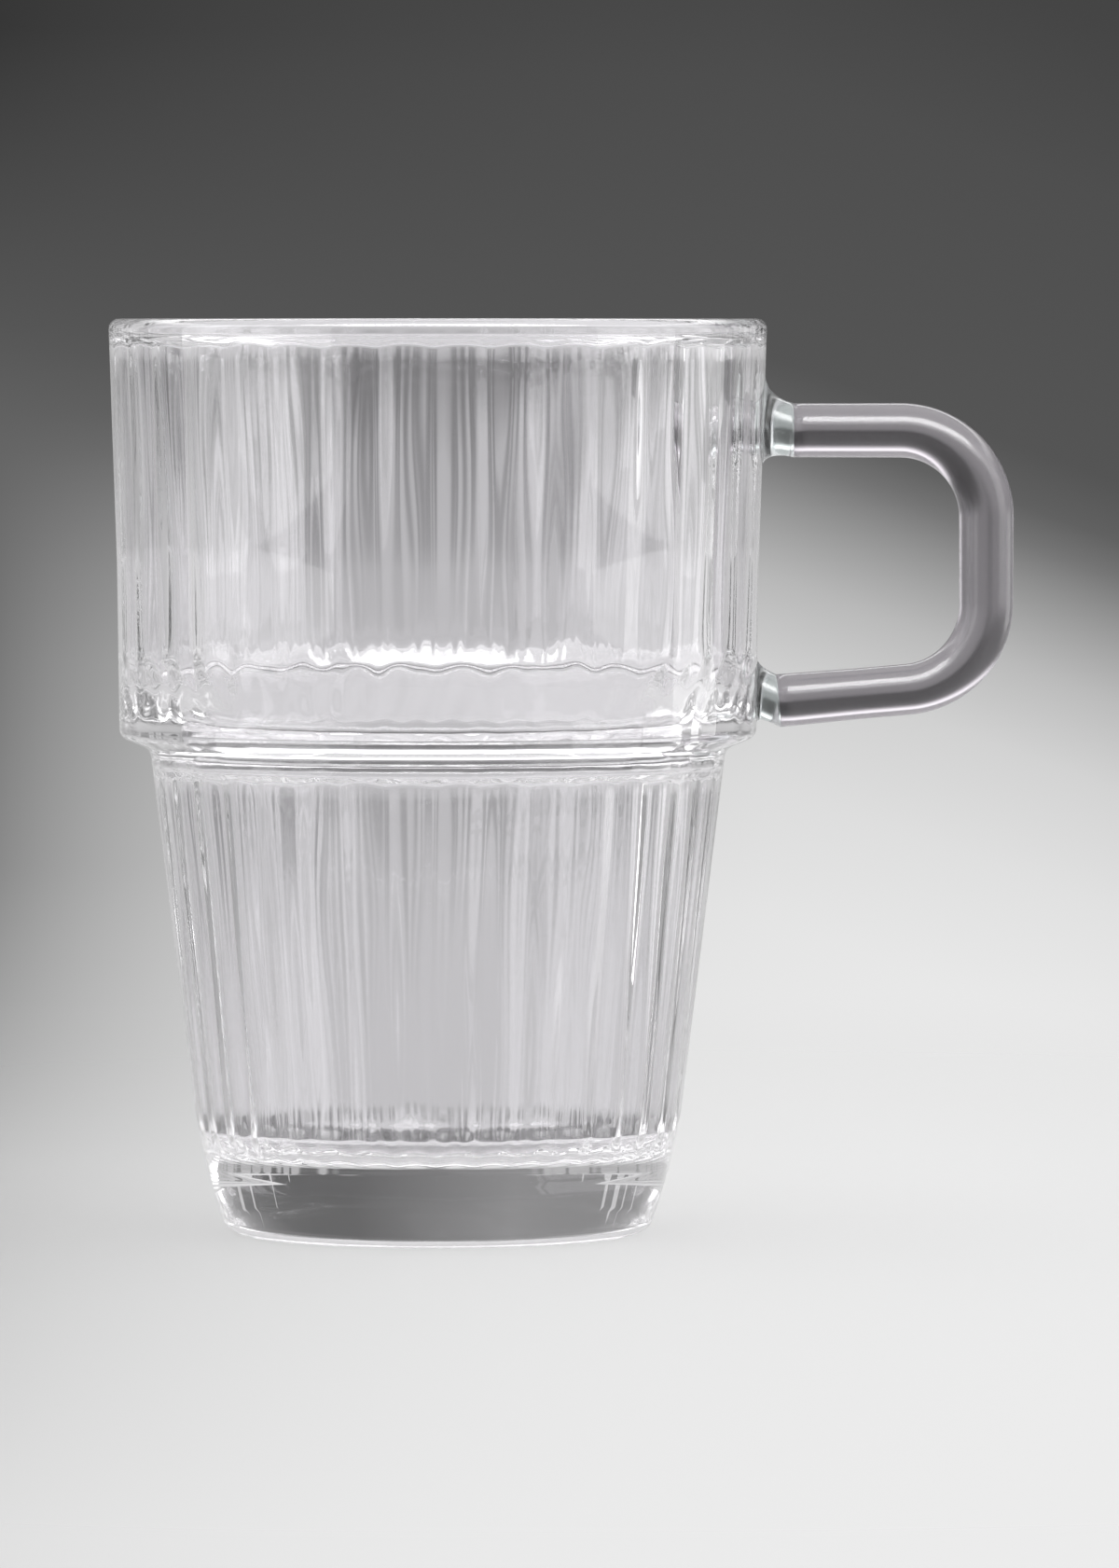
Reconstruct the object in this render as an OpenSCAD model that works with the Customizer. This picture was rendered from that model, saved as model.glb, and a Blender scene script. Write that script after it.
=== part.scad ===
// Stacking cortado glass: a ribbed bowl with a shoulder, and a bent rod handle.
// Millimetres. +Z is up, the origin is on the bowl's axis at the table,
// and the handle points along +X.

/* [Outside of the bowl] */
// Height from the table to the rim
glass_h = 100; // [92:1:112]
// Outer diameter at the rim
rim_d = 72; // [70.5:0.5:78]
// How far the upper wall stands inside the rim where it begins to flare
flare_in = 0.9; // [0.6:0.05:1.1]
// Height where the upper wall begins to flare
flare_h = 73.5; // [68:0.5:82]
// How far the upper wall stands inside the rim at the shoulder
shoulder_in = 1.15; // [0.9:0.05:1.6]
// Height of the shoulder's outer edge
shoulder_h = 54.4; // [50:0.2:57]
// Rise of the shoulder's underside, from the lower wall out to the edge
shoulder_rise = 1.4; // [0.6:0.1:2.4]
// How far the lower wall stands inside the shoulder, where it meets it
neck_in = 3.35; // [2.8:0.05:4]
// How far the lower wall draws in from the shoulder to the heel
heel_in = 5.4; // [4:0.1:6.4]
// Height of the heel
heel_h = 8.8; // [6:0.2:12]
// How far the foot's corner, before it is rounded, stands inside the heel
foot_in = 3.4; // [2:0.1:5]

/* [Inside of the bowl] */
// Wall at the plain lip
lip_wall = 2.6; // [2:0.1:3.2]
// Height of the plain band inside the lip
lip_band_h = 1.7; // [1.3:0.1:3]
// Height of the slope from the lip band in to the ribs
lip_slope_h = 1.4; // [0.8:0.1:2.4]
// Wall of the upper part, on the crest of a rib
upper_wall = 4.2; // [3.9:0.1:5]
// Height of the ledge's foot above the shoulder's edge
ledge_up = 2.6; // [1.4:0.2:5]
// Height of the ledge
ledge_h = 5; // [3:0.2:7]
// Wall of the plain collar under the ledge, taken from the neck
collar_wall = 3.1; // [2.6:0.1:3.7]
// Depth of the lower ribs' tops below the shoulder's edge
rib_drop = 4.2; // [3:0.2:8]
// Wall of the lower part at the ribs' tops, on the crest of a rib
lower_wall_top = 4.1; // [3.7:0.1:4.8]
// Wall of the lower part at the floor, on the crest of a rib
lower_wall_low = 2.3; // [1.9:0.1:3.4]
// Thickness of the base
base_h = 8.9; // [6:0.1:12]

/* [Flutes] */
// Number of flutes round each part of the bowl
flutes = 34; // [28:1:38]
// Depth of an upper flute
upper_flute_depth = 0.8; // [0.4:0.05:1]
// Radius of an upper flute's hollow
upper_flute_r = 3.2; // [2.4:0.1:3.6]
// Depth of a lower flute
lower_flute_depth = 0.65; // [0.35:0.05:0.8]
// Radius of a lower flute's hollow
lower_flute_r = 2.6; // [1.8:0.1:2.8]

/* [Handle] */
// Diameter of the handle's rod
rod_d = 6; // [5:0.1:7.5]
// How much thinner the rod is drawn with each stretch after the upper bend
rod_draw = 0.1; // [0.06:0.01:0.2]
// How far the handle stands out past the rim
handle_out = 27; // [24:0.5:36]
// Drop from the rim to the middle of the upper arm
arm_drop = 12.2; // [9.8:0.2:15]
// Height of the lower arm's root above the shoulder's edge
lower_arm_up = 3.6; // [3.4:0.1:5]
// Climb of the lower arm, from the bowl outwards, in degrees
lower_arm_tilt = 5; // [0:1:9]
// Radius of the handle's bends, to the middle of the rod
bend_r = 9.4; // [7:0.2:11]

/* [Welds] */
// Length of the upper weld along the arm
upper_weld_len = 2.7; // [2.2:0.1:3.6]
// Flare of the upper weld beyond the rod
upper_flare = 2; // [1.4:0.1:2.2]
// Tilt of the upper weld against the arm, in degrees
upper_weld_tilt = 24; // [12:1:28]
// Length of the lower weld along the arm
lower_weld_len = 2.2; // [1.6:0.1:3.2]
// Flare of the lower weld beyond the rod
lower_flare = 0.85; // [0.5:0.05:1]
// Tilt of the lower weld against the arm, in degrees
lower_weld_tilt = 20; // [10:1:24]

/* [Hidden] */
$fn = 96;

// Roundings of the bowl's outline
lip_out_round = 1.1;
lip_in_round = 0.9;
slope_round = 0.5;
edge_round = 1.2;
neck_round = 1.5;
heel_round = 20;
foot_round = 1.8;
ledge_round = 1.6;
floor_round = 1.5;
// Steps along each rounding
arc_steps = 6;
// Draft of the collar over its height
collar_draft = 0.2;
// Height of the slope from the collar in to the lower ribs
rib_slope_h = 1.1;
// Height of a flute's foot above the top of the ledge and above the floor
upper_end_up = 0.4;
lower_end_up = 0.7;
// Overrun of every cut
over = 4;
// How far one stretch of the rod reaches into the next
rod_seat = 0.6;

// Outside radii of the bowl
rim_r = rim_d / 2;
flare_r = rim_r - flare_in;
shoulder_r = rim_r - shoulder_in;
neck_r = shoulder_r - neck_in;
heel_r = neck_r - heel_in;
foot_r = heel_r - foot_in;
neck_h = shoulder_h - shoulder_rise;

// Heights inside the bowl, from the rim down
slope_top = glass_h - lip_band_h;
slope_foot = slope_top - lip_slope_h;
ledge_foot = shoulder_h + ledge_up;
ledge_top = ledge_foot + ledge_h;
ribs_top = shoulder_h - rib_drop;

// Radii inside the bowl, on the crests of the ribs
lip_in_r = rim_r - lip_wall;
crest_top_r = outer_r(slope_foot) - upper_wall;
crest_low_r = outer_r(ledge_top) - upper_wall;
collar_top_r = neck_r - collar_wall;
collar_low_r = collar_top_r - collar_draft;
lower_crest_top_r = outer_r(ribs_top) - lower_wall_top;
lower_crest_low_r = outer_r(base_h) - lower_wall_low;

// Handle
rod_r = rod_d / 2;
leg_r = rod_r - rod_draw / 2;
low_bend_r = leg_r - rod_draw / 2;
low_arm_r = low_bend_r - rod_draw;
leg_x = rim_r + handle_out - rod_r;
arm_z = glass_h - arm_drop;
arm_root_x = outer_r(arm_z) + upper_weld_len;
low_root_x = outer_r(shoulder_h + lower_arm_up) + lower_weld_len;
low_root_z = shoulder_h + lower_arm_up + lower_weld_len * tan(lower_arm_tilt);
low_turn = 90 - lower_arm_tilt;
// Centre of the lower bend, which the leg and the lower arm both meet
bend_x = leg_x - bend_r;
low_end_x = bend_x + bend_r * cos(low_turn);
low_end_z = low_root_z + (low_end_x - low_root_x) * tan(lower_arm_tilt);
low_bend_z = low_end_z + bend_r * sin(low_turn);
low_arm_len = (low_end_x - low_root_x) / cos(lower_arm_tilt);

// Value at height z on the line between two points, each a radius and a height
function on_line(a, b, z) = a[0] + (b[0] - a[0]) * (z - a[1]) / (b[1] - a[1]);

// Outside radius of the bowl's straight walls at height z
function outer_r(z) =
    z > flare_h ? on_line([flare_r, flare_h], [rim_r, glass_h], z)
    : z > shoulder_h ? on_line([shoulder_r, shoulder_h], [flare_r, flare_h], z)
    : on_line([heel_r, heel_h], [neck_r, neck_h], z);

function unit(v) = v / norm(v);
function flat(p) = [p[0], p[1]];

// Points of the arc that rounds corner p, met from a and left for b
function corner_arc(a, p, b) =
    let (
        u = unit(flat(a) - flat(p)),
        v = unit(flat(b) - flat(p)),
        half = acos(u * v) / 2,
        centre = flat(p) + unit(u + v) * p[2] / sin(half),
        from = flat(p) + u * p[2] / tan(half) - centre,
        to = flat(p) + v * p[2] / tan(half) - centre,
        sweep = 180 - 2 * half
    )
    [for (i = [0:arc_steps])
        let (t = i / arc_steps)
        centre + (from * sin((1 - t) * sweep) + to * sin(t * sweep)) / sin(sweep)];

// Outline whose corners, given as radius, height and rounding, are rounded
function rounded(corners) =
    let (n = len(corners))
    [for (i = [0:n - 1])
        each (corners[i][2] == 0 ? [flat(corners[i])]
            : corner_arc(corners[(i + n - 1) % n], corners[i], corners[(i + 1) % n]))];

// Outside of the bowl as a solid of revolution
module bowl_outside() {
    rotate_extrude()
        polygon(rounded([
            [0, 0, 0],
            [foot_r, 0, foot_round],
            [heel_r, heel_h, heel_round],
            [neck_r, neck_h, neck_round],
            [shoulder_r, shoulder_h, edge_round],
            [flare_r, flare_h, 0],
            [rim_r, glass_h, lip_out_round],
            [0, glass_h, 0]
        ]));
}

// Hollow of the bowl, on the crests of the ribs
module hollow() {
    rotate_extrude()
        polygon(rounded([
            [0, base_h, 0],
            [lower_crest_low_r, base_h, floor_round],
            [lower_crest_top_r, ribs_top, 0],
            [collar_low_r, ribs_top + rib_slope_h, 0],
            [collar_top_r, ledge_foot, ledge_round],
            [crest_low_r, ledge_top, ledge_round],
            [crest_top_r, slope_foot, slope_round],
            [lip_in_r, slope_top, slope_round],
            [lip_in_r, glass_h - lip_in_round, 0],
            [lip_in_r, glass_h + over, 0],
            [0, glass_h + over, 0]
        ]));
}

// Ring that rounds the lip's inner edge
module lip_rounding() {
    rotate_extrude()
        translate([lip_in_r, glass_h - lip_in_round])
            difference() {
                translate([-over, 0])
                    square([over + lip_in_round, lip_in_round + over]);
                translate([lip_in_round, 0])
                    circle(r = lip_in_round);
            }
}

// One ring of flutes between two heights, following the wall's slope.
// A rib, and not a flute, faces -Y.
module flute_ring(low_r, low_z, top_r, top_z, r, depth) {
    lean = atan((top_r - low_r) / (top_z - low_z));
    run = norm([top_r - low_r, top_z - low_z]);
    for (i = [0:flutes - 1])
        rotate([0, 0, (i + 1 / 2) * 360 / flutes - 90])
            translate([low_r + depth - r, 0, low_z])
                rotate([0, lean, 0])
                    cylinder(r = r, h = run);
}

// Pressed glass bowl
module bowl() {
    color([0.93, 0.95, 0.95, 0.35])
        difference() {
            bowl_outside();
            hollow();
            lip_rounding();
            flute_ring(
                on_line([crest_low_r, ledge_top], [crest_top_r, slope_foot], ledge_top + upper_end_up),
                ledge_top + upper_end_up,
                crest_top_r, slope_foot + lip_slope_h,
                upper_flute_r, upper_flute_depth);
            flute_ring(
                on_line([lower_crest_low_r, base_h], [lower_crest_top_r, ribs_top], base_h + lower_end_up),
                base_h + lower_end_up,
                lower_crest_top_r, ribs_top + rib_slope_h,
                lower_flute_r, lower_flute_depth);
        }
}

// Everything on the bowl's side of the cut between a weld and its arm
module bowl_side(x, z, turn) {
    translate([x, 0, z])
        rotate([0, turn, 0])
            translate([-leg_x, -rim_r, -rim_r])
                cube([leg_x, rim_d, rim_d]);
}

// Straight stretch of rod from the origin along +X
module arm(len, r) {
    rotate([0, 90, 0])
        cylinder(r = r, h = len);
}

// Bend of the rod in the XZ plane, between two angles up from +X
module bend(x, z, r, from, to) {
    translate([x, 0, z])
        rotate([90, 0, 0])
            rotate([0, 0, from])
                rotate_extrude(angle = to - from)
                    translate([bend_r, 0])
                        circle(r = r);
}

// Bent glass rod: upper arm, leg and lower arm, each let into the bends
module handle() {
    leg_foot_z = low_bend_z;
    leg_top_z = arm_z - bend_r + rod_seat;
    color([0.55, 0.55, 0.56, 0.6]) {
        difference() {
            translate([arm_root_x - rod_r, 0, arm_z])
                arm(bend_x + rod_seat - arm_root_x + rod_r, leg_r);
            bowl_side(arm_root_x, arm_z, upper_weld_tilt / 2);
        }
        bend(bend_x, arm_z - bend_r, rod_r, 0, 90);
        translate([leg_x, 0, leg_foot_z])
            cylinder(r = leg_r, h = leg_top_z - leg_foot_z);
        bend(bend_x, low_bend_z, low_bend_r, -low_turn, asin(rod_seat / bend_r));
        difference() {
            translate([low_end_x, 0, low_end_z])
                rotate([0, 180 - lower_arm_tilt, 0])
                    translate([-rod_seat, 0, 0])
                        arm(rod_seat + low_arm_len + rod_r, low_arm_r);
            bowl_side(low_root_x, low_root_z, lower_weld_tilt / 2 - lower_arm_tilt);
        }
    }
}

// Flared end of the rod, fused to the bowl: its axis climbs towards the wall
module weld(x, z, r, len, flare, tilt, arm_turn) {
    wall_run = len / cos(tilt - arm_turn);
    intersection() {
        difference() {
            translate([x, 0, z])
                rotate([0, tilt - arm_turn - 90, 0])
                    union() {
                        translate([0, 0, -r])
                            cylinder(r = r, h = wall_run + r + over);
                        rotate_extrude()
                            difference() {
                                translate([0, wall_run - flare])
                                    square([r + flare, flare + over]);
                                translate([r + flare, wall_run - flare])
                                    circle(r = flare);
                            }
                    }
            bowl_outside();
        }
        bowl_side(x, z, tilt / 2 - arm_turn);
    }
}

// Weld of the upper arm
module upper_weld() {
    color([0.62, 0.70, 0.71, 0.6])
        weld(arm_root_x, arm_z, leg_r, upper_weld_len, upper_flare, upper_weld_tilt, 0);
}

// Weld of the lower arm
module lower_weld() {
    color([0.62, 0.70, 0.71, 0.6])
        weld(low_root_x, low_root_z, low_arm_r, lower_weld_len, lower_flare, lower_weld_tilt, lower_arm_tilt);
}

bowl();
handle();
upper_weld();
lower_weld();
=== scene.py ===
# %% [markdown]
# # A stacking cortado glass in Blender
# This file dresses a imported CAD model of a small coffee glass: a pressed bowl with a ribbed
# inside and a shoulder for stacking, and a bent glass rod that is fused to it as a handle.
# The CAD solids give the place and size of every piece. Here each one gets a finer skin, with
# melted, rounded edges, and the material that lets light bend through it as it does in glass.

import math

import bpy
import numpy as np
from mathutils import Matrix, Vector
from mathutils.geometry import delaunay_2d_cdt


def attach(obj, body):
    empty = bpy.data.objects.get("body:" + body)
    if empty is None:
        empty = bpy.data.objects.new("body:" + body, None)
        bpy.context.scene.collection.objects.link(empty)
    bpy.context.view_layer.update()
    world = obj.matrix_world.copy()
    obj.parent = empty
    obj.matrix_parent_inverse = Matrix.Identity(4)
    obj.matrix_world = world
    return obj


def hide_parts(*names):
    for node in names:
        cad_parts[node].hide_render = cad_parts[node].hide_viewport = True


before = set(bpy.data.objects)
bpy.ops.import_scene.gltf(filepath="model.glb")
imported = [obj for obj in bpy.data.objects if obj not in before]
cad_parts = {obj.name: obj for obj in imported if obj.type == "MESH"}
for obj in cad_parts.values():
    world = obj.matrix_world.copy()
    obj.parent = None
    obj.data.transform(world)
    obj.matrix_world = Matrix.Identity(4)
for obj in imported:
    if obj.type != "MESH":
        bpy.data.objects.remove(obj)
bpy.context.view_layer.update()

# %% [markdown]
# All sizes below are written in millimetres, as a glassmaker would say them, and every mesh is
# scaled to metres as it is made. Colours are written as sRGB hex, as a picture editor shows
# them. Blender reckons in linear light, so one function converts them.

# %% Units and colours
MM = 0.001


def linear(hex_colour):
    """sRGB hex to a linear RGBA tuple."""
    parts = [int(hex_colour[i:i + 2], 16) / 255 for i in (1, 3, 5)]
    return (*[p / 12.92 if p <= 0.04045 else ((p + 0.055) / 1.055) ** 2.4 for p in parts], 1)


print("mid grey in linear light:", linear("#808080"))

# %% [markdown]
# ## Camera
# The photograph was taken through a long lens from a little over a metre away, with the lens
# level with the rim: the rim shows as a line, and the foot as a shallow curve. A long lens is
# set by its focal length in pixels, which turns to millimetres through the sensor's long side.
# The camera tips down a little, so that the rim is in the upper part of the picture.

# %% Camera
PICTURE = (1200, 1681)
FOCAL_PX = 11290
EYE = Vector((13.3, -1152, 101)) * MM
HORIZON_PX = 331.7

lens = bpy.data.cameras.new("camera")
lens.sensor_width = 36
lens.lens = lens.sensor_width * FOCAL_PX / PICTURE[1]
lens.clip_start, lens.clip_end = 0.01, 50
camera = bpy.data.objects.new("camera", lens)
bpy.context.scene.collection.objects.link(camera)
camera.location = EYE
tip = math.atan((PICTURE[1] / 2 - HORIZON_PX) / FOCAL_PX)
camera.rotation_euler = (math.pi / 2 - tip, 0, 0)
bpy.context.scene.camera = camera
bpy.context.scene.view_settings.view_transform = "Standard"
print(f"lens {lens.lens:.1f} mm, tipped down {math.degrees(tip):.2f} degrees")

# %% [markdown]
# ## Outline of the bowl
# A pressed glass is a body of revolution, so one outline says almost all of it. The corners
# below follow the CAD solid, each with its rounding. The underside is hollowed by half a
# millimetre, as pressed feet are, so that the glass stands on a ring, and the ledge inside runs
# through wide, melted roundings. A lathe tool could turn the outline, but the flutes change the
# inside radius with the angle, so the surface is built as a grid: one row for each point of the
# outline, one column for each step round the glass.

# %% Outline with rounded corners
def rounded(corners, step, arc_step=0.34):
    """Points along a line of corners (radius, height, rounding), none further apart than step."""
    points = []
    for i, (r, z, radius) in enumerate(corners):
        here = np.array([r, z], float)
        if radius == 0:
            points.append(here)
            continue
        to_last = np.array(corners[i - 1][:2], float) - here
        to_next = np.array(corners[i + 1][:2], float) - here
        to_last /= np.linalg.norm(to_last)
        to_next /= np.linalg.norm(to_next)
        half = math.acos(np.clip(to_last @ to_next, -1, 1)) / 2
        middle = here + (to_last + to_next) / np.linalg.norm(to_last + to_next) * radius / math.sin(half)
        start = here + to_last * radius / math.tan(half) - middle
        end = here + to_next * radius / math.tan(half) - middle
        sweep = math.pi - 2 * half
        count = max(3, round(sweep * radius / arc_step))
        for t in np.linspace(0, 1, count + 1):
            turned = start * math.sin((1 - t) * sweep) + end * math.sin(t * sweep)
            points.append(middle + turned / math.sin(sweep))
    line = [points[0]]
    for p in points[1:]:
        gap = np.linalg.norm(p - line[-1])
        if gap > 1e-6:
            parts = max(1, math.ceil(gap / step))
            line += [line[-1] + (p - line[-1]) * k / parts for k in range(1, parts + 1)]
    return np.array(line)


GLASS_H = 100
FLOOR_Z = 9.1
COLLAR_Z, SHOULDER_Z = 73.5, 54.4
outside = rounded([
    (0, 0.5, 0), (17.5, 0.45, 2), (19.2, 0, 0.5), (23.2, 0, 2.2), (25.3, 7, 8), (26.6, 13, 14),
    (31.5, 53, 1.5), (34.85, SHOULDER_Z, 1.2), (35.1, COLLAR_Z, 0), (36, GLASS_H, 1.1),
    (34.7, GLASS_H, 0)], step=2.2)
inside = rounded([
    (34.7, GLASS_H, 0), (33.4, GLASS_H, 0.9), (33.4, 98.3, 0.5), (31.8, 96.9, 0.5), (30.8, 62, 7),
    (28.4, 57, 6), (28.2, 51.3, 1.0), (27.05, 50.2, 1.0), (23.8, FLOOR_Z, 3.2), (0, FLOOR_Z, 0)], step=1.4)
# twice as many points at the edge of the floor, where the lower flutes end
EDGE_Z, EDGE_R = 14, 18
fine = [[(a + b) / 2, b] if a[1] < EDGE_Z and a[0] > EDGE_R else [b]
        for a, b in zip(inside, inside[1:])]
inside = np.array([inside[0]] + sum(fine, []))
print(len(outside), "points outside,", len(inside), "inside")

# %% [markdown]
# ## Flutes
# The plunger of the press left 34 hollow flutes inside the upper part and 34 more in the lower
# part. Each is a groove of a round section. Fire polishing then softened the ribs between them,
# which is what spreads the light in soft streaks and not in hard lines. Here the round section
# is worked out for one flute. A blur along the pitch, half a millimetre wide, stands for the
# flame. It is done on the section's waves, because a section that repeats has no ends then.

# %% Section of a flute
FLUTES = 34
STEPS = 12  # columns to a flute
SECTION_POINTS = 512
columns = FLUTES * STEPS
angles = np.arange(columns) * 2 * math.pi / columns
from_rib = (angles + math.pi / 2) * FLUTES / (2 * math.pi) % 1


def flute_section(crest_r, groove_r, depth, polish):
    """Depth of the groove below the rib's crest, from one rib to the next, blurred by polish mm."""
    turn = (np.arange(SECTION_POINTS) / SECTION_POINTS - 0.5) * 2 * math.pi / FLUTES
    centre = crest_r + depth - groove_r
    under = np.clip(groove_r ** 2 - (centre * np.sin(turn)) ** 2, 0, None)
    groove = np.clip(centre * np.cos(turn) + np.sqrt(under) - crest_r, 0, None)
    pitch = 2 * math.pi * crest_r / FLUTES
    waves = np.fft.rfftfreq(SECTION_POINTS, pitch / SECTION_POINTS)
    blur = np.exp(-2 * (math.pi * waves * polish) ** 2)
    return np.fft.irfft(np.fft.rfft(groove) * blur, SECTION_POINTS)


def ease(low, high, x):
    """0 at low, 1 at high, with a soft start and end."""
    t = np.clip((x - low) / (high - low), 0, 1)
    return t * t * (3 - 2 * t)


upper_flute = flute_section(31.4, 8.5, 0.46, polish=0.46)
lower_flute = flute_section(25.6, 6.5, 0.36, polish=0.42)
print(f"upper flute {np.ptp(upper_flute):.2f} mm deep after polishing, lower {np.ptp(lower_flute):.2f} mm")

# %% [markdown]
# The flutes stand on the outline as a push outwards, from nothing on a rib to the full depth in
# the middle of a flute. Where they run out into a slope, at the lip, at the ledge and at the top
# of the lower ribs, the corner of the outline slides along that slope, so it is pushed up as
# well as out. That is what makes those three edges wavy. No pressed flute is quite like the next,
# so slow waves of chance, from a seed, make each a little deeper or shallower along its height.

# %% Push of the flutes on each point of the outline
# rows of height, push outwards and push upwards, both for each millimetre of a flute's depth
UPPER_PUSH = [(57, 0, 0), (62, 1, 1.9), (66, 1, 0), (92, 1, 0), (96.9, 1, 0.88), (98.3, 0, 0)]
LOWER_PUSH = [(8.9, 1, 0), (46, 1, 0), (50.2, 1, 0.96), (51.3, 0, 0)]
UNEVEN = 0.16  # share by which a flute's depth wanders
SKIN_WAVE, COLLAR_WAVE, EDGE_WAVE = 0.018, 0.05, 0.03  # mm


def ripple(z, seed, around, length):
    """Soft irregular waves of unit strength, around times about the bowl and length mm tall."""
    count = 9
    chance = np.random.default_rng(seed)
    total = np.zeros((len(z), columns))
    for _ in range(count):
        turns = chance.integers(*around)
        rise = chance.choice((-1, 1)) * chance.uniform(0.6, 1.4) * 2 * math.pi / length
        total += np.sin(turns * angles[None] + rise * z[:, None] + chance.uniform(0, 2 * math.pi))
    return total / math.sqrt(count / 2)


def depth_of(section):
    """Depth of the flutes in each column."""
    places = np.arange(SECTION_POINTS + 1)
    return np.interp(from_rib * SECTION_POINTS, places, np.append(section, section[0]))


def pushed(points):
    """Radius and height of each outline point in each column, for the inside of the bowl."""
    r, z = points[:, :1], points[:, 1]
    out, up = np.zeros((len(points), columns)), np.zeros((len(points), columns))
    for table, section, seed in ((UPPER_PUSH, upper_flute, 6), (LOWER_PUSH, lower_flute, 4)):
        depth = depth_of(section) * (1 + UNEVEN * ripple(z, seed, (3, 17), 45))
        heights, outs, ups = zip(*table)
        out += np.interp(z, heights, outs, right=0)[:, None] * depth
        up += np.interp(z, heights, ups, right=0)[:, None] * depth
    # the lower flutes lift the edge of the floor, grow shallow there and end in arches
    lower = depth_of(lower_flute)
    up += 0.9 * lower * ease(14, 21.5, r) * ease(12.6, 10, z)[:, None]
    out = np.minimum(out, np.interp(z, [9.2, 12.7, 13.4], [0.3, 0.36, 2])[:, None])
    arches = 0.6 * lower + EDGE_WAVE * ripple(z, 6, (30, 90), 12)
    out += arches * ease(13.5, 10.5, z)[:, None] * ease(12, 18, r)
    # the skin of pressed glass is never quite flat, least of all in the plain collar
    out += SKIN_WAVE * ripple(z, 5, (14, 44), 40) * ease(9, 12, z)[:, None] * ease(99, 96, z)[:, None]
    out += COLLAR_WAVE * ripple(z, 8, (20, 66), 9) * (ease(56.5, 58.5, z) * ease(65, 61, z))[:, None]
    return r + out, z[:, None] + up


skin = np.vstack([outside[1:], inside[1:-1]])
radii, heights = (np.repeat(skin[:, k:k + 1], columns, axis=1) for k in (0, 1))
radii[len(outside) - 1:], heights[len(outside) - 1:] = pushed(skin[len(outside) - 1:])
print("grid of", radii.shape, "points, radii", radii.min().round(2), "to", radii.max().round(2))

# %% [markdown]
# ## Joints
# The handle was drawn and bent first, and its two ends were melted on to the bowl. Where glass
# is fused to glass there is no surface for the eye: light passes straight on. The pieces stay
# separate here, as in the CAD, so the faces where they touch get a material of their own that
# lets light through unbent. For that the bowl's wall needs the exact outline of each joint, and
# the flare of melted glass has to end on the same points. First come the outlines: each is an
# oval on the wall, taller above the rod than below it, because the melted glass sagged and was
# pulled up the wall.

# %% Outlines of the joints on the wall
ROUND = 64


def wall_r(z):
    """Radius of the bowl's outside above the shoulder."""
    return np.interp(z, [SHOULDER_Z, COLLAR_Z, GLASS_H], [34.85, 35.1, 36])


def joint_outline(middle_z, up, down, side):
    """Oval on the bowl's wall at the +X side, as x, y, z rows, counted from the top towards +Y."""
    turn = np.arange(ROUND) * 2 * math.pi / ROUND
    z = middle_z + np.where(np.cos(turn) > 0, up, down) * np.cos(turn)
    y = side * np.sin(turn)
    return np.stack([np.sqrt(wall_r(z) ** 2 - y ** 2), y, z], axis=1)


upper_joint = joint_outline(88.2, up=6.1, down=4.6, side=4.7)
lower_joint = joint_outline(58.9, up=4.1, down=3.15, side=3.6)
for name, oval in (("upper", upper_joint), ("lower", lower_joint)):
    print(name, "joint", np.ptp(oval[:, 2]).round(2), "mm tall,", np.ptp(oval[:, 1]).round(2), "mm wide")

# %% [markdown]
# The grid of the bowl is cut open in a window round each joint, and the window is filled again
# with triangles that keep to the joint's outline. Blender's constrained triangulation does this
# on the unrolled wall.

# %% Mesh of the bowl
def to_metres(name, points, faces, smooth, slots):
    """Mesh object from points in millimetres; slots gives each face's material slot."""
    mesh = bpy.data.meshes.new(name)
    mesh.from_pydata((np.asarray(points) * MM).tolist(), [], faces)
    mesh.polygons.foreach_set("use_smooth", smooth)
    mesh.polygons.foreach_set("material_index", slots)
    mesh.update()
    piece = bpy.data.objects.new(name, mesh)
    bpy.context.scene.collection.objects.link(piece)
    print(name, len(mesh.vertices), "points,", len(mesh.polygons), "faces")
    return piece


WALL_FROM_Z, WALL_FROM_R = 54.9, 34.6  # rows above and outside these lie on the plain outer wall
UNROLL_R = 35  # radius at which the wall is unrolled
WINDOW_MARGIN = 2.5  # how far a window reaches above and below its joint
CLEAR = 0.3  # grid points nearer to a joint's outline than this are left out


def unroll(p):
    return Vector((math.atan2(p[1], p[0]) * UNROLL_R, p[2]))


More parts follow.
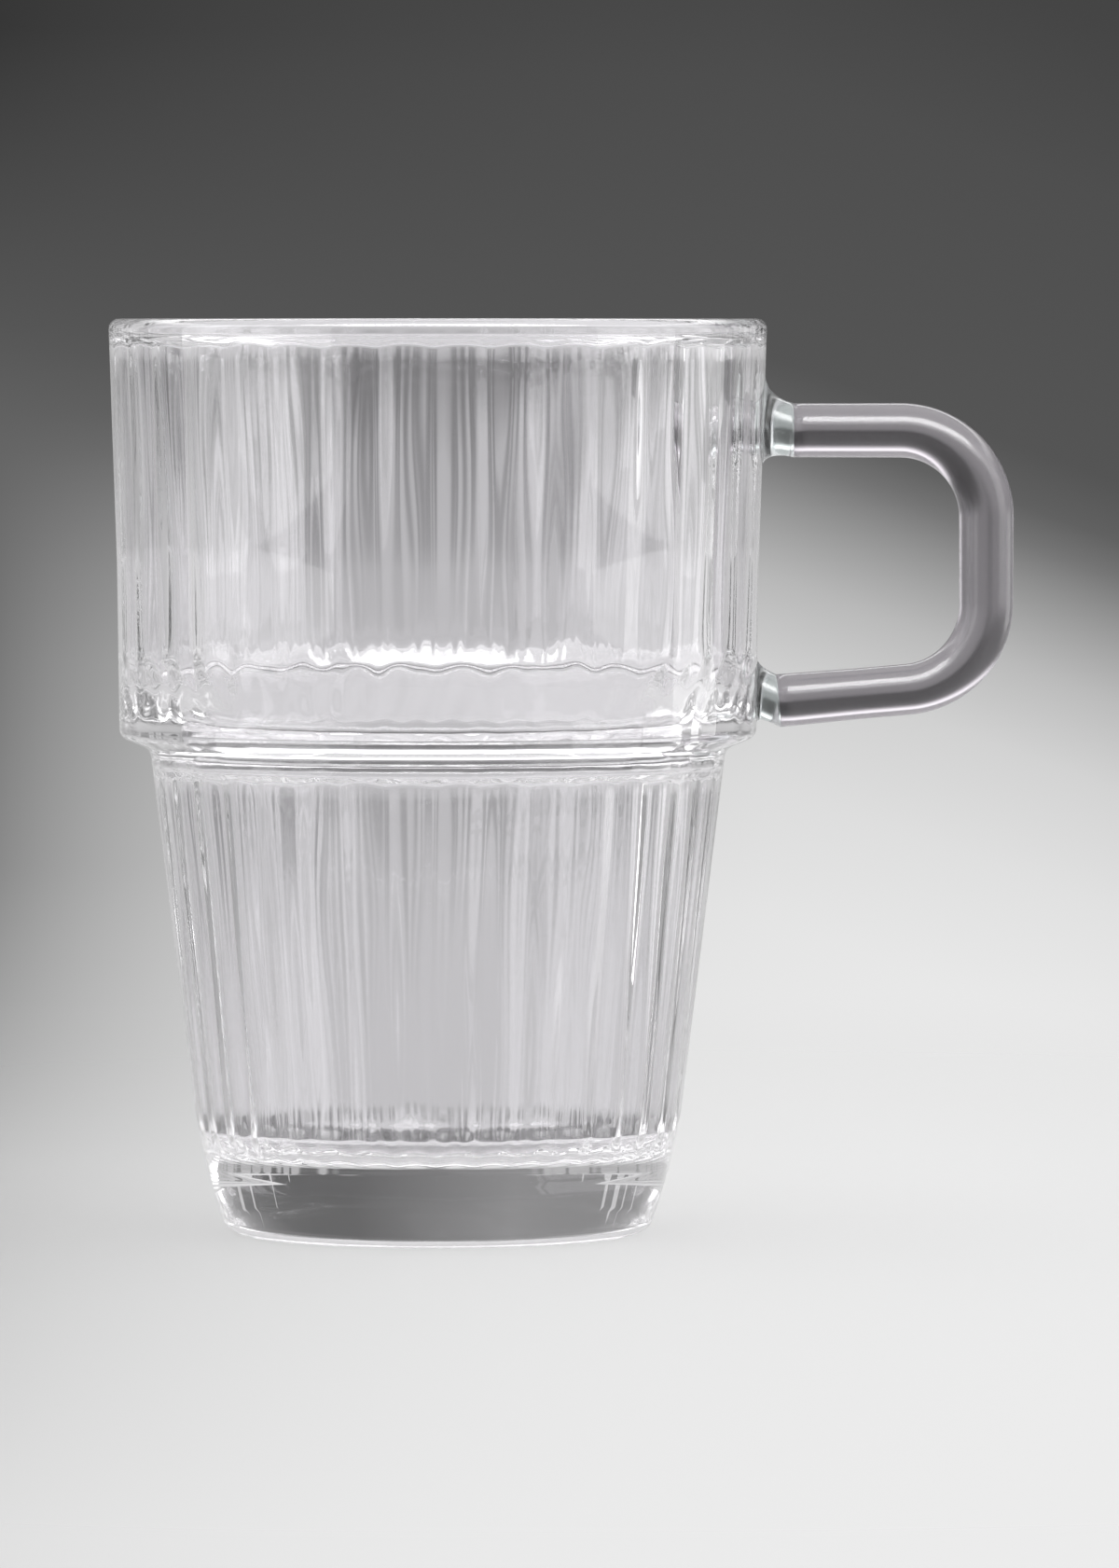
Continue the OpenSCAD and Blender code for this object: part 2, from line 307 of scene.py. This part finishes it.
def open_window(points, faces_at, rows, outline, width):
    """Fills a window of the wall round an outline with triangles.

    Takes width columns to each side out of faces_at and adds the outline to points. Returns the
    triangles, and for each whether it lies on the joint."""
    z_low, z_high = outline[:, 2].min() - WINDOW_MARGIN, outline[:, 2].max() + WINDOW_MARGIN
    window_rows = [i for i in rows if z_low < skin[i, 1] < z_high]
    top, bottom = max(window_rows), min(window_rows)
    ring = [unroll(p) for p in outline]
    flat, owner = [], []
    for i in range(bottom, top + 1):
        for j in range(-width, width + 1):
            index = i * columns + j % columns
            place = unroll(points[index])
            at_border = i in (bottom, top) or abs(j) == width
            if at_border or min((place - q).length for q in ring) > CLEAR:
                flat.append(place)
                owner.append(index)
    base = len(flat)
    flat += ring
    owner += list(range(len(points), len(points) + ROUND))
    points += outline.tolist()
    loop = [(base + k, base + (k + 1) % ROUND) for k in range(ROUND)]
    _, _, triangles, source, _, _ = delaunay_2d_cdt(flat, loop, [], 0, 1e-7)
    for i in range(bottom, top):
        for j in range(-width, width):
            faces_at.pop((i, j % columns))

    ring_flat = np.array([(q.x, q.y) for q in ring])
    centre = ring_flat.mean(0)
    ring_heading = np.arctan2(ring_flat[:, 0] - centre[0], ring_flat[:, 1] - centre[1])
    ring_reach = np.linalg.norm(ring_flat - centre, axis=1)
    order = np.argsort(ring_heading)
    found, on_joint = [], []
    for t in triangles:
        corners = [source[k][0] for k in t]
        middle = sum((flat[k] for k in corners), Vector((0, 0))) / 3
        heading = math.atan2(middle.x - centre[0], middle.y - centre[1])
        edge = np.interp(heading, ring_heading[order], ring_reach[order], period=2 * math.pi)
        found.append([owner[k] for k in corners])
        on_joint.append(math.hypot(middle.x - centre[0], middle.y - centre[1]) < edge - 1e-4)
    return found, on_joint


def build_bowl():
    """Bowl from the grid, with both windows filled and the two round middles closed."""
    rows = len(skin)
    points = np.stack([radii * np.cos(angles), radii * np.sin(angles), heights], -1)
    points = points.reshape(-1, 3).tolist()
    faces_at = {}
    for i in range(rows - 1):
        for j in range(columns):
            k = (j + 1) % columns
            faces_at[i, j] = (i * columns + j, i * columns + k,
                              (i + 1) * columns + k, (i + 1) * columns + j)
    wall = [i for i in range(len(outside) - 1) if skin[i, 1] > WALL_FROM_Z and skin[i, 0] > WALL_FROM_R]
    upper, upper_on = open_window(points, faces_at, wall, upper_joint, width=17)
    lower, lower_on = open_window(points, faces_at, wall, lower_joint, width=14)
    under, floor_middle = len(points), len(points) + 1
    points += [[0, 0, outside[0][1]], [0, 0, inside[-1][1]]]
    faces = list(faces_at.values())
    last = (rows - 1) * columns
    faces += [(under, (j + 1) % columns, j) for j in range(columns)]
    faces += [(floor_middle, last + j, last + (j + 1) % columns) for j in range(columns)]
    joint = [False] * len(faces) + upper_on + lower_on
    faces += upper + lower
    return to_metres("bowl_glass", points, faces, [not x for x in joint], [int(x) for x in joint])


bowl = build_bowl()

# %% [markdown]
# ## Handle
# The handle is a drawn rod of 6 mm. It leaves the bowl level, turns down through a tight bend,
# and comes back under a slight slope. Where it was bent hot, the rod was pulled a little
# thinner, and it swells again towards the lower joint. A curve with a bevel would draw a rod of
# one thickness; sweeping rings along the path lets the radius change, and gives end faces
# whose points the joints can share.

# %% Path and thickness of the rod
def arc_points(centre, radius, start, end, count):
    """Points on an arc from start to end, in degrees from straight out."""
    turn = np.radians(np.linspace(start, end, count))
    return np.stack([centre[0] + radius * np.cos(turn), centre[1] + radius * np.sin(turn)], 1)


def between(a, b, count):
    """Points that cut the way from a to b in count parts, without a and b."""
    return np.linspace(a, b, count + 1)[1:-1]


UPPER_ROOT, LOWER_ROOT = np.array([38.9, 87.8]), np.array([37.3, 58.21])
BEND_R, BEND_X = 9.4, 50.6
upper_bend = arc_points((BEND_X, 78.4), BEND_R, 90, 0, 30)
lower_bend = arc_points((BEND_X, 68.81), BEND_R, 0, -85, 28)
path = np.vstack([
    UPPER_ROOT, between(UPPER_ROOT, upper_bend[0], 8), upper_bend,
    between(upper_bend[-1], lower_bend[0], 8), lower_bend,
    between(lower_bend[-1], LOWER_ROOT, 10), LOWER_ROOT])
run = np.concatenate([[0], np.cumsum(np.linalg.norm(np.diff(path, axis=0), axis=1))])
share = run / run[-1]
rod_r = np.interp(share, [0, 0.15, 0.3, 0.5, 0.62, 0.74, 0.86, 1],
                  [2.95, 2.97, 3, 2.97, 2.93, 2.8, 2.78, 2.9])
print(f"rod {run[-1]:.1f} mm long, {2 * rod_r.min():.2f} to {2 * rod_r.max():.2f} mm thick")

# %% [markdown]
# Each ring lies square to the path. The first and last rings are the faces that touch the
# joints, and they are the only flat faces of the rod.

# %% Mesh of the rod
ring_turn = np.arange(ROUND) * 2 * math.pi / ROUND


def rod_ring(k):
    """Ring k of the rod, counted from its top towards +Y, square to the path."""
    ahead = path[min(k + 1, len(path) - 1)] - path[max(k - 1, 0)]
    ahead /= np.linalg.norm(ahead)
    out = np.array([-ahead[1], ahead[0]])
    flat = path[k] + np.outer(rod_r[k] * np.cos(ring_turn), out)
    return np.stack([flat[:, 0], rod_r[k] * np.sin(ring_turn), flat[:, 1]], 1)


def tube(name, rings):
    """Closed skin through the rings; the two end faces get the second material slot."""
    points = np.vstack(rings)
    sides = [(k * ROUND + j, k * ROUND + (j + 1) % ROUND, (k + 1) * ROUND + (j + 1) % ROUND,
              (k + 1) * ROUND + j) for k in range(len(rings) - 1) for j in range(ROUND)]
    ends = [tuple(range(ROUND))[::-1], tuple((len(rings) - 1) * ROUND + j for j in range(ROUND))]
    faces = sides + ends
    outwards = [f[::-1] for f in faces]
    cap = [0] * len(sides) + [1, 1]
    return to_metres(name, points, outwards, [not c for c in cap], cap)


rod_rings = [rod_ring(k) for k in range(len(path))]
handle = tube("handle_rod", rod_rings)

# %% [markdown]
# ## Melted joints
# Each joint is a short flare between the rod and the wall. Along every line from the rod to
# the wall the glass leaves the rod smoothly and runs out along the wall, which a cubic curve
# draws from its two ends and its two directions.

# %% Meshes of the joints
def flare(name, rod_end, outline, lead, spread, count=14):
    """Skin from the rod's end ring to the outline on the wall.

    lead and spread say how strongly the rod's and the wall's direction hold the curve."""
    middle = rod_end.mean(0)
    away = outline - outline.mean(0)
    away /= np.linalg.norm(away, axis=1, keepdims=True)
    towards = outline.mean(0) - middle
    towards[1] = 0
    towards /= np.linalg.norm(towards)
    gap = np.linalg.norm(outline - rod_end, axis=1, keepdims=True)
    rings = []
    for t in np.linspace(0, 1, count):
        from_rod, leave_rod = 2 * t ** 3 - 3 * t ** 2 + 1, t ** 3 - 2 * t ** 2 + t
        to_wall, reach_wall = -2 * t ** 3 + 3 * t ** 2, t ** 3 - t ** 2
        rings.append(from_rod * rod_end + leave_rod * towards * gap * lead
                     + to_wall * outline + reach_wall * away * gap * spread)
    return tube(name, rings[::-1])


upper_weld = flare("upper_joint", rod_rings[0], upper_joint, lead=1.2, spread=1.3)
# the last ring of the rod runs the other way round, so it is turned to match the outline
lower_end = np.roll(rod_rings[-1], ROUND // 2, axis=0)[::-1]
lower_end = np.roll(lower_end, 1, axis=0)
lower_weld = flare("lower_joint", lower_end, lower_joint, lead=1.1, spread=1.0)
print("joints closed, the rod's own end rings shared by", upper_weld.name, "and", lower_weld.name)

# %% [markdown]
# ## Materials
# One small function adds a node with its settings and its links, and every material below is
# made with it.

# %% Node helper
def add(tree, kind, inputs=None, **settings):
    """New node of a kind; inputs maps a socket's name or number to a value or another node's output."""
    node = tree.nodes.new(kind)
    for name, value in settings.items():
        setattr(node, name, value)
    for key, value in (inputs or {}).items():
        if isinstance(value, bpy.types.NodeSocket):
            tree.links.new(value, node.inputs[key])
        else:
            node.inputs[key].default_value = value
    return node


def new_material(name):
    """Empty material and its node tree."""
    material = bpy.data.materials.new(name)
    material.use_nodes = True
    material.node_tree.nodes.clear()
    return material, material.node_tree


print("node helper ready")

# %% [markdown]
# ### Pressed soda-lime glass
# The bowl is clear soda-lime glass, pressed hot in an iron mould and fire polished. It bends
# light with an index of 1.52, and its skin is a little less than mirror smooth, because the
# mould's grain never quite melts away: the streaks that the flutes draw end softly. The skin
# isn't quite flat either. Waves 9 mm across and four times as tall, a hundredth of a millimetre
# high, give the streaks their small unevenness. A noise texture draws them as a bump. The
# Principled shader does the rest, since transmission with an index is all that clear glass is.

# %% Material of the bowl
def glass_material(name, colour, ior, roughness, wave_mm, wave_height, stretch=(1, 1, 1)):
    """Clear glass with soft waves in its skin; stretch below 1 draws the waves out on that axis."""
    material, tree = new_material(name)
    place = add(tree, "ShaderNodeTexCoord").outputs["Object"]
    scaled = add(tree, "ShaderNodeMapping", {"Vector": place, "Scale": stretch})
    waves = add(tree, "ShaderNodeTexNoise", {"Vector": scaled.outputs[0], "Scale": 1 / (wave_mm * MM),
                                             "Detail": 1.5, "Roughness": 0.4})
    bump = add(tree, "ShaderNodeBump", {"Height": waves.outputs[0], "Distance": wave_height * MM,
                                        "Strength": 1.0})
    shader = add(tree, "ShaderNodeBsdfPrincipled", {
        "Base Color": linear(colour), "Roughness": roughness, "IOR": ior, "Transmission Weight": 1.0,
        "Normal": bump.outputs[0]})
    add(tree, "ShaderNodeOutputMaterial", {"Surface": shader.outputs[0]})
    print(name, "colour", colour, "index", ior, "roughness", roughness)
    return material


pressed_glass = glass_material("pressed_soda_lime_glass", "#fdfcfe", ior=1.52, roughness=0.02,
                               wave_mm=9, wave_height=0.012, stretch=(1, 1, 0.25))

# %% [markdown]
# ### Drawn glass rod
# The rod is drawn from a greyer glass than the bowl. It is solid, so it is a strong lens, and
# the photograph shows it with broad, soft shading and no sharp picture of the room inside. The
# tint and the roughness give that: a grey that each pass through the skin deepens, and light
# that spreads a little on its way.

# %% Material of the rod
rod_glass = glass_material("drawn_grey_glass_rod", "#a8a4a9", ior=1.5, roughness=0.2,
                           wave_mm=14, wave_height=0.01)

# %% [markdown]
# ### Melted joint glass
# Where the rod's ends were melted on, its glass and the bowl's ran together. It set in the open
# air without another polish, so it is a trace greenish grey between the two, soft like the rod,
# and its small waves are the deepest of the three.

# %% Material of the joints
joint_glass = glass_material("melted_joint_glass", "#c6cdcd", ior=1.52, roughness=0.2,
                             wave_mm=5, wave_height=0.02)

# %% [markdown]
# ### Fused faces
# Where two pieces are fused there is nothing to see, so the faces on which they touch let light
# straight through.

# %% Material of the fused faces, and who wears what
fused_face, tree = new_material("fused_face")
through = add(tree, "ShaderNodeBsdfTransparent", {"Color": (1, 1, 1, 1)})
add(tree, "ShaderNodeOutputMaterial", {"Surface": through.outputs[0]})

for piece, glass in ((bowl, pressed_glass), (handle, rod_glass),
                     (upper_weld, joint_glass), (lower_weld, joint_glass)):
    piece.data.materials.append(glass)
    piece.data.materials.append(fused_face)
print("materials:", [m.name for m in bpy.data.materials if m.users])

# %% [markdown]
# ## Backdrop and floor
# The glass stands on a pale sweep of paper. Its darkening towards the top of the picture is
# painted shade, and the edge of a soft light lying across it behind the handle is painted light.
# Glass has hardly any colour of its own, so this surrounding is half of its looks. The sweep's
# light and shade is painted by the direction in which it lies from the photographer's place, once
# for the floor and once for the world behind it, so that the two meet without a line.

# %% Helpers for painting
def maths(tree, operation, a, b=0.0, clamp=False):
    return add(tree, "ShaderNodeMath", {0: a, 1: b}, operation=operation, use_clamp=clamp).outputs[0]


def from_to(tree, value, low, high, start=0.0, end=1.0):
    """start at low, end at high, a straight run between, and level beyond."""
    return add(tree, "ShaderNodeMapRange", {0: value, 1: low, 2: high, 3: start, 4: end}).outputs[0]


def between_colours(tree, share, first, second, blend="MIX"):
    return add(tree, "ShaderNodeMix", {0: share, 6: first, 7: second}, data_type="RGBA",
               blend_type=blend).outputs[2]


def grey_ramp(tree, value, stops, low, high):
    """Colour ramp through (place, sRGB grey) stops, with value running from low to high."""
    ramp = add(tree, "ShaderNodeValToRGB", {0: from_to(tree, value, low, high)})
    points = ramp.color_ramp.elements
    points.remove(points[1])
    for k, (at, grey) in enumerate(stops):
        spot = (at - low) / (high - low)
        point = points.new(spot) if k else points[0]
        point.position = spot
        point.color = linear("#" + f"{grey:02x}" * 3)
    return ramp.outputs[0]


print("painting helpers ready")

# %% [markdown]
# The painted light and shade is laid out in the photographer's frame, by how far across and how
# far down a direction lies in pixels. Down the left side the painted shade grows steadily lighter,
# from dusk to pale paper. On the right the painted edge of a soft light comes in under the handle,
# higher the further right it is.
# Away from the photographed direction the sweep is plain pale grey.

# %% Painted light and shade of the sweep
SWEEP_TOP, SWEEP_END = -320, 2400
# pixels down and grey, for the painted shade on the left and the painted light's edge on the right; both
# begin above the picture and end below it
LEFT_GREYS = [(SWEEP_TOP, 49), (30, 55), (350, 86), (930, 139), (1070, 162), (1250, 200),
              (1650, 228), (SWEEP_END, 234)]
RIGHT_GREYS = [(SWEEP_TOP, 64), (20, 70), (200, 79), (500, 84), (560, 96), (600, 117),
               (736, 190), (830, 214), (960, 228), (1100, 236), (1300, 240), (SWEEP_END, 240)]
CENTRE_PX = PICTURE[0] / 2
MARGIN_PX = 100.0  # further out than this beside the picture, the paint stays as it is there
LEFT_FADE_PX = 370  # how fast the left side gives way to the right
EDGE_START_PX, EDGE_END_PX, EDGE_SLOPE = 820.0, 1150.0, 0.36  # the slant of the light's edge
PLAIN_GREY = "#e4e4e4"


def sweep_light_and_shade(tree, direction):
    """Painted light and shade of the sweep in a direction from the photographer's place."""
    x, y, z = add(tree, "ShaderNodeSeparateXYZ", {0: direction}).outputs
    depth = maths(tree, "MAXIMUM", maths(tree, "ABSOLUTE", y), 0.001)
    level = maths(tree, "ADD", maths(tree, "MULTIPLY", x, x), maths(tree, "MULTIPLY", y, y))
    level = maths(tree, "SQRT", level)
    across = maths(tree, "MULTIPLY", maths(tree, "DIVIDE", x, depth), float(FOCAL_PX))
    across = maths(tree, "ADD", across, CENTRE_PX)
    across = maths(tree, "MINIMUM", across, PICTURE[0] + MARGIN_PX)
    across = maths(tree, "MAXIMUM", across, -MARGIN_PX)
    drop = maths(tree, "DIVIDE", z, maths(tree, "MAXIMUM", level, 0.001))
    down = maths(tree, "ADD", maths(tree, "MULTIPLY", drop, -float(FOCAL_PX)), HORIZON_PX)
    left = grey_ramp(tree, down, LEFT_GREYS, SWEEP_TOP, SWEEP_END)
    behind = maths(tree, "SUBTRACT", EDGE_END_PX, maths(tree, "MAXIMUM", across, EDGE_START_PX))
    slid = maths(tree, "ADD", down, maths(tree, "MULTIPLY", behind, EDGE_SLOPE))
    right = grey_ramp(tree, slid, RIGHT_GREYS, SWEEP_TOP, SWEEP_END)
    reach = maths(tree, "DIVIDE", maths(tree, "MAXIMUM", across, 0.0), -float(LEFT_FADE_PX))
    fall = maths(tree, "POWER", 2.718, reach)
    painted = between_colours(tree, maths(tree, "SUBTRACT", 1.0, fall), left, right)
    length = add(tree, "ShaderNodeVectorMath", {0: direction}, operation="LENGTH").outputs["Value"]
    ahead = from_to(tree, maths(tree, "DIVIDE", y, length), 0.5, 0.85)
    return between_colours(tree, ahead, linear(PLAIN_GREY), painted)


print("sweep from grey", LEFT_GREYS[0][1], "to", LEFT_GREYS[-1][1], "on the left")

# %% [markdown]
# The floor is matt paper that takes the glass's soft shadow. Seen by the camera it has the sweep's
# painted light and shade; seen through or mirrored in the glass it is the pale grey that the paper is.
# Part of that comes as a glow, so that the painted light and shade shows as it is written, and part as
# light on the paper, which keeps the shadow. The sheet fades out with the distance from the glass,
# where the same painted light and shade goes on behind it.

# %% Floor
PAPER_GREY = "#dedede"
GLOW_SHARE = 0.65
FADE_FROM, FADE_TO = 0.16, 0.42  # metres from the glass

paper, tree = new_material("matt_paper")
position = add(tree, "ShaderNodeNewGeometry").outputs["Position"]
from_eye = add(tree, "ShaderNodeVectorMath", {0: position, 1: tuple(EYE)}, operation="SUBTRACT").outputs[0]
# the camera's colour of the paper is painted light and shade, laid over the real shadow that the paper
# takes
painted_light_and_shade = sweep_light_and_shade(tree, from_eye)
matt = add(tree, "ShaderNodeBsdfDiffuse", {"Color": painted_light_and_shade})
rays = add(tree, "ShaderNodeLightPath").outputs
shown = between_colours(tree, rays["Is Camera Ray"], linear(PAPER_GREY), painted_light_and_shade)
even = add(tree, "ShaderNodeEmission", {"Color": shown, "Strength": 1.0})
through_glass = maths(tree, "ADD", rays["Is Glossy Ray"], rays["Is Transmission Ray"])
looked_at = maths(tree, "ADD", rays["Is Camera Ray"], through_glass, clamp=True)
lit = add(tree, "ShaderNodeMixShader", {0: maths(tree, "MULTIPLY", looked_at, GLOW_SHARE),
                                        1: matt.outputs[0], 2: even.outputs[0]})
clear = add(tree, "ShaderNodeBsdfTransparent")
distance = add(tree, "ShaderNodeVectorMath", {0: position}, operation="LENGTH").outputs["Value"]
fade = add(tree, "ShaderNodeMapRange", {0: distance, 1: FADE_FROM, 2: FADE_TO, 3: 0.0, 4: 1.0},
           interpolation_type="SMOOTHSTEP")
mixed = add(tree, "ShaderNodeMixShader", {0: fade.outputs[0], 1: lit.outputs[0], 2: clear.outputs[0]})
add(tree, "ShaderNodeOutputMaterial", {"Surface": mixed.outputs[0]})


def sheet(name, width, height, location, turn, material):
    """Flat rectangle in metres, facing +Z before it is turned."""
    w, h = width / 2, height / 2
    mesh = bpy.data.meshes.new(name)
    mesh.from_pydata([(-w, -h, 0), (w, -h, 0), (w, h, 0), (-w, h, 0)], [], [(0, 1, 2, 3)])
    mesh.materials.append(material)
    made = bpy.data.objects.new(name, mesh)
    bpy.context.scene.collection.objects.link(made)
    made.location = location
    made.rotation_euler = [math.radians(a) for a in turn]
    return made


# a hair below the foot, so that the two faces never fight
floor = sheet("floor", 0.9, 0.9, (0, 0, -0.00002), (0, 0, 0), paper)
print(floor.name, "fades out between", FADE_FROM, "and", FADE_TO, "m")

# %% [markdown]
# ## Light
# The studio round the glass: the camera sees the painted sweep, while the glass itself, which
# gathers light from far wider than the picture, sees a room that is pale all round, a little
# greyer from the height of the glass up to a third of the way to overhead.

# %% World
ROOM_GREYS = [(-90, 230), (-14, 236), (-3, 236), (3, 200), (30, 190), (50, 235), (90, 250)]

world = bpy.data.worlds.new("studio")
bpy.context.scene.world = world
world.use_nodes = True
tree = world.node_tree
tree.nodes.clear()
heading = add(tree, "ShaderNodeTexCoord").outputs["Generated"]
seen = sweep_light_and_shade(tree, heading)
upwards = add(tree, "ShaderNodeSeparateXYZ", {0: heading}).outputs["Z"]
steep = maths(tree, "MULTIPLY", maths(tree, "ARCSINE", upwards), 180 / math.pi)
room = grey_ramp(tree, steep, ROOM_GREYS, -90, 90)
in_picture = add(tree, "ShaderNodeLightPath").outputs["Is Camera Ray"]
shown = between_colours(tree, in_picture, room, seen)
sky = add(tree, "ShaderNodeBackground", {"Color": shown, "Strength": 1.0})
add(tree, "ShaderNodeOutputWorld", {"Surface": sky.outputs[0]})
print("world ready, degrees of height and grey:", ROOM_GREYS)

# %% [markdown]
# Light that has entered a ribbed wall of glass turns back many times before it comes out again.
# Blender gives up after a few turns and draws black, which shows as ink marks at the ends of the
# ledge and down both sides. These counts let the light find its way out.

# %% Light paths
paths = bpy.context.scene.cycles
paths.max_bounces, paths.transmission_bounces, paths.glossy_bounces = 32, 32, 24
print("light may turn", paths.max_bounces, "times")

# %% [markdown]
# Round the glass stands what it sees, and the camera does not: a wall of cloth, pale near the
# floor and dark above the height of the glass. It stands at a true distance, so that the upper
# and the lower part of the glass see different heights of it. Right behind the glass a narrow
# gap in the pale cloth is greyer, which draws the dark line down the middle of the base. To the
# sides the pale cloth rises into the dark in pointed folds, and the glass, a lens, turns them
# over: light strokes that hang into the dark. High up the cloth shines, though only where it is
# seen mirrored, which gives the rim its lights.

# %% Wall of cloth
WALL_R, WALL_FOOT, WALL_TOP = 1.2, -0.16, 1.0
WALL_PARTS = 96
# height in metres and grey
LOW_GREYS = [(WALL_FOOT, 222), (-0.03, 216), (0.03, 216), (0.05, 210), (0.085, 198), (0.1, 192),
             (0.14, 225), (WALL_TOP, 240)]
# degrees from straight behind the glass and grey, for both sides
WIDE_GREYS = [(7, 230), (24, 246), (60, 222), (100, 196), (180, 190)]
NARROW_GREYS = [(1, 152), (2.5, 178), (5, 230), (12, 236), (60, 206), (100, 184), (180, 180)]
# degrees and grey, from the left side to the right
DARK_GREYS = [(-180, 190), (-85, 180), (-60, 100), (-30, 126), (-14, 134), (14, 84), (60, 66),
              (85, 180), (180, 190)]
HEM_FROM, HEM_TO = 0.078, 0.105  # metres, where the pale cloth gives way to the dark
FOLD, FOLD_HEIGHT, FOLD_SHAPE = 4.0, 0.42, 1.6  # degrees, metres, and above 1 for pointed folds
FOLD_DRIFT, FOLD_CHANCE = 16.0, 0.21  # degrees that chance moves a fold, and waves to a degree
SHINE_FROM, SHINE_TO, SHINE = 0.6, 0.85, 7.0  # metres, and times brighter at the most


def both_sides(stops):
    """The same stops on the left, mirrored, and on the right."""
    return [(-at, grey) for at, grey in stops[::-1]] + stops


cloth, tree = new_material("studio_cloth")
place = add(tree, "ShaderNodeTexCoord").outputs["Object"]
x, y, z = add(tree, "ShaderNodeSeparateXYZ", {0: place}).outputs
side = maths(tree, "MULTIPLY", maths(tree, "ARCTAN2", x, y), 180 / math.pi)
low = grey_ramp(tree, z, LOW_GREYS, WALL_FOOT, WALL_TOP)
wide = grey_ramp(tree, side, both_sides(WIDE_GREYS), -180, 180)
narrow = grey_ramp(tree, side, both_sides(NARROW_GREYS), -180, 180)
across = between_colours(tree, from_to(tree, z, 0.0, 0.1), wide, narrow)
pale = between_colours(tree, 1.0, low, across, "MULTIPLY")

# the folds: pointed teeth whose places wander, only to the sides, none straight behind
folds = add(tree, "ShaderNodeTexNoise", {"W": maths(tree, "MULTIPLY", side, FOLD_CHANCE), "Scale": 1.0,
                                         "Detail": 0.0}, noise_dimensions="1D").outputs[0]
wandered = maths(tree, "ADD", side, maths(tree, "MULTIPLY", folds, FOLD_DRIFT))
tooth = maths(tree, "DIVIDE", maths(tree, "PINGPONG", wandered, FOLD), FOLD)
tooth = maths(tree, "POWER", tooth, FOLD_SHAPE)
off_centre = maths(tree, "ABSOLUTE", side)
begin, cease = from_to(tree, off_centre, 16, 45), from_to(tree, off_centre, 85, 100, 1.0, 0.0)
outer = maths(tree, "MULTIPLY", begin, cease)
hem = maths(tree, "MULTIPLY", maths(tree, "MULTIPLY", tooth, outer), FOLD_HEIGHT)
above = from_to(tree, maths(tree, "SUBTRACT", z, hem), HEM_FROM, HEM_TO)

dark = grey_ramp(tree, side, DARK_GREYS, -180, 180)
dark = between_colours(tree, from_to(tree, z, 0.4, 0.95), dark, linear("#b4b4b4"))
seen = between_colours(tree, above, pale, dark)
in_mirror = add(tree, "ShaderNodeLightPath").outputs["Is Glossy Ray"]
shine = from_to(tree, z, SHINE_FROM, SHINE_TO, 0.0, SHINE)
power = maths(tree, "ADD", 1.0, maths(tree, "MULTIPLY", shine, in_mirror))
glow = add(tree, "ShaderNodeEmission", {"Color": seen, "Strength": power})
add(tree, "ShaderNodeOutputMaterial", {"Surface": glow.outputs[0]})

turns = [2 * math.pi * k / WALL_PARTS for k in range(WALL_PARTS + 1)]
mesh = bpy.data.meshes.new("studio_wall")
mesh.from_pydata(
    [(WALL_R * math.sin(t), WALL_R * math.cos(t), h) for h in (WALL_FOOT, WALL_TOP) for t in turns], [],
    [(k, k + 1, k + WALL_PARTS + 2, k + WALL_PARTS + 1) for k in range(WALL_PARTS)])
mesh.materials.append(cloth)
wall = bpy.data.objects.new("studio_wall", mesh)
bpy.context.scene.collection.objects.link(wall)
wall.visible_camera = wall.visible_diffuse = wall.visible_shadow = False
print("wall of cloth", WALL_R, "m away")

# %% [markdown]
# Soft boxes draw the white strokes. A small one low on the right gives the long stroke down the
# right side of the bowl, a wide one on the left and one at the front right give the broad pale
# bands beside the edges, one overhead lights the floor, and a long strip overhead glints on the
# rim and the shoulder. They are kept out of the camera's own sight, and those that would wash
# out the paper or the glass's inside are kept out of that too.

# %% Soft boxes
def soft_box(name, width, height, location, turn, strength):
    """Lamp behind white cloth, facing the way that turn says."""
    white, tree = new_material(name + "_cloth")
    glow = add(tree, "ShaderNodeEmission", {"Color": linear("#ffffff"), "Strength": strength})
    add(tree, "ShaderNodeOutputMaterial", {"Surface": glow.outputs[0]})
    box = sheet(name, width, height, location, turn, white)
    box.visible_camera = False
    return box


right_box = soft_box("right_soft_box", 0.24, 0.2, (0.5, 0.13, -0.012), (90, 0, -75), 2.6)
left_box = soft_box("left_soft_box", 0.74, 0.6, (-0.565, -0.235, 0.33), (90, 0, 114.8), 2.0)
front_right_box = soft_box("front_right_soft_box", 0.4, 0.6, (0.64, -0.2, 0.33), (90, 0, 77), 2.2)
top_box = soft_box("top_soft_box", 1.9, 1.5, (0, -0.2, 0.95), (180, 0, 0), 1.25)
top_strip = soft_box("top_strip_box", 2.8, 0.55, (0, -0.75, 0.93), (180, 0, 0), 14)
for box in (left_box, front_right_box, top_strip):
    box.visible_diffuse = False
for box in (top_box, top_strip):
    box.visible_transmission = False
boxes = (right_box, left_box, front_right_box, top_box, top_strip)
print(len(boxes), "soft boxes:", [box.name for box in boxes])

# %% [markdown]
# ## Finish
# Each piece rides on the glass's only body and stands for its CAD solid, which is hidden.

# %% Ride and replace
for piece, node, slot in ((bowl, "bowl", "bowl_glass"), (handle, "handle", "rod_glass"),
                          (upper_weld, "upper_weld", "rod_glass"), (lower_weld, "lower_weld", "rod_glass")):
    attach(piece, "root")
    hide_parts(node)
